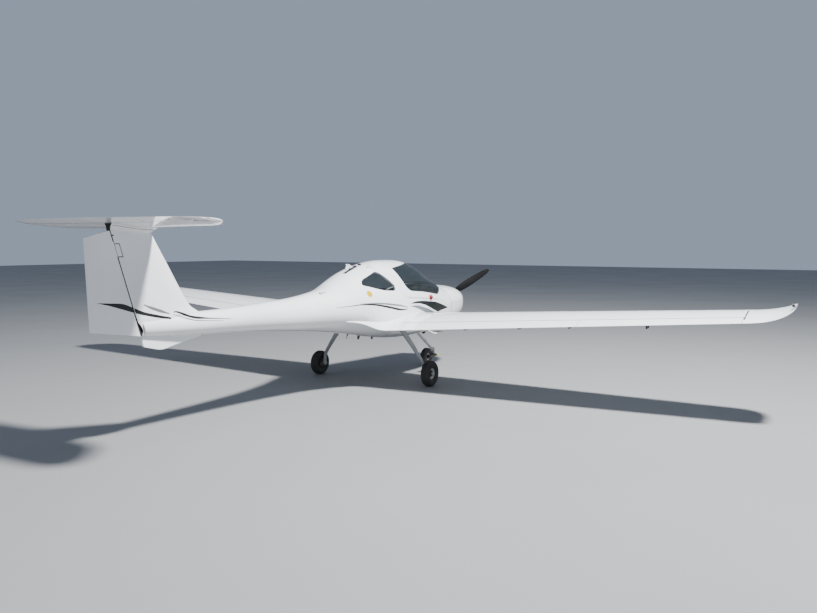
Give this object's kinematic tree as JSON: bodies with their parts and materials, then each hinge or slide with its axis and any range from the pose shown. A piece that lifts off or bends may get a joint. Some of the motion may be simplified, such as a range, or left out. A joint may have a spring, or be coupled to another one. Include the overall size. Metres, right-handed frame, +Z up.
{
  "type": "two-seat light aircraft",
  "caption": "Low-wing two-seat training aircraft with a T-tail, bubble canopy, upturned wing tips, fixed tricycle gear and a nose propeller.",
  "frame": {"origin": "on the ground under the middle of the bounding box", "axes": "+Z up, the nose points to -Y and the left wing to +X"},
  "size_m": [10.87, 7.16, 2.1873],
  "materials": {
    "skin": "gloss white paint over composite",
    "window": "tinted clear acrylic",
    "dark_trim": "matte black",
    "seat_cloth": "woven cloth",
    "sheet_steel": "bare sheet",
    "engine_metal": "dull casting",
    "gear_paint": "satin grey paint",
    "tyre_rubber": "worn rubber",
    "wheel_alloy": "cast and turned",
    "blade_black": "satin black"
  },
  "bodies": {
    "airframe": {"fuselage": "skin", "cowl_upper": "skin", "cowl_lower": "skin", "firewall": "sheet_steel", "engine_block": "engine_metal", "wing_left": "skin", "wing_right": "skin", "wing_tip_left": "skin", "wing_tip_right": "skin", "fin": "skin", "ventral_fin": "skin", "stabiliser": "skin", "rear_window_left": "window", "rear_window_right": "window", "instrument_panel": "dark_trim", "seat_left": "seat_cloth", "seat_right": "seat_cloth", "control_sticks": "dark_trim", "main_leg_left": "gear_paint", "main_leg_right": "gear_paint", "brake_left": "engine_metal", "brake_right": "engine_metal", "nose_leg": "gear_paint", "step_left": "gear_paint", "step_right": "gear_paint", "exhaust": "sheet_steel", "belly_antenna": "dark_trim", "pitot_tube": "gear_paint"},
    "propeller": {"propeller": "blade_black", "spinner": "skin"},
    "canopy": {"canopy_frame": "skin", "canopy_glass": "window"},
    "aileron_left": {"aileron_left": "skin"},
    "aileron_right": {"aileron_right": "skin"},
    "flap_left": {"flap_left": "skin"},
    "flap_right": {"flap_right": "skin"},
    "elevator": {"elevator": "skin"},
    "rudder": {"rudder": "skin"},
    "wheel_left": {"tyre_left": "tyre_rubber", "rim_left": "wheel_alloy"},
    "wheel_right": {"tyre_right": "tyre_rubber", "rim_right": "wheel_alloy"},
    "nose_fork": {"nose_fork": "gear_paint"},
    "nose_wheel": {"tyre_nose": "tyre_rubber", "rim_nose": "wheel_alloy"}
  },
  "joints": [
    {"name": "propeller_spin", "type": "hinge", "parent": "airframe", "child": "propeller", "pos_m": [0, -3.384, 1.085], "axis": [0, 1, 0], "continuous": true},
    {"name": "wheel_left_spin", "type": "hinge", "parent": "airframe", "child": "wheel_left", "pos_m": [0.95, -1.077, 0.178], "axis": [1, 0, 0], "continuous": true},
    {"name": "wheel_right_spin", "type": "hinge", "parent": "airframe", "child": "wheel_right", "pos_m": [-0.95, -1.077, 0.178], "axis": [1, 0, 0], "continuous": true},
    {"name": "nose_castor", "type": "hinge", "parent": "airframe", "child": "nose_fork", "pos_m": [0, -2.868, 0.172], "axis": [0, 0, 1], "range_deg": [-60, 60]},
    {"name": "nose_wheel_spin", "type": "hinge", "parent": "nose_fork", "child": "nose_wheel", "pos_m": [0, -2.645, 0.142], "axis": [1, 0, 0], "continuous": true},
    {"name": "canopy_open", "type": "hinge", "parent": "airframe", "child": "canopy", "pos_m": [0, -0.716, 1.668], "axis": [-1, 0, 0], "range_deg": [0, 60]},
    {"name": "elevator_pitch", "type": "hinge", "parent": "airframe", "child": "elevator", "pos_m": [0, 3.33, 2.164], "axis": [1, 0, 0], "range_deg": [-15, 25]},
    {"name": "rudder_yaw", "type": "hinge", "parent": "airframe", "child": "rudder", "pos_m": [0, 3.163, 1.55], "axis": [0, 0.2908, 0.9568], "range_deg": [-27, 27]},
    {"name": "aileron_left_roll", "type": "hinge", "parent": "airframe", "child": "aileron_left", "pos_m": [3.14, -0.91126, 0.97429], "axis": [0.9955, -0.0645, 0.0698], "range_deg": [-20, 20]},
    {"name": "aileron_right_roll", "type": "hinge", "parent": "airframe", "child": "aileron_right", "pos_m": [-3.14, -0.91126, 0.97429], "axis": [0.9955, 0.0645, -0.0698], "range_deg": [-20, 20]},
    {"name": "flap_left_drop", "type": "hinge", "parent": "airframe", "child": "flap_left", "pos_m": [0.7, -0.75317, 0.80314], "axis": [0.9955, -0.0645, 0.0698], "range_deg": [-45, 0]},
    {"name": "flap_right_drop", "type": "hinge", "parent": "airframe", "child": "flap_right", "pos_m": [-0.7, -0.75317, 0.80314], "axis": [0.9955, 0.0645, -0.0698], "range_deg": [-45, 0]}
  ],
  "couplings": [
    {"joint": "aileron_right_roll", "follows": "aileron_left_roll", "ratio": -1},
    {"joint": "flap_right_drop", "follows": "flap_left_drop", "ratio": 1}
  ]
}
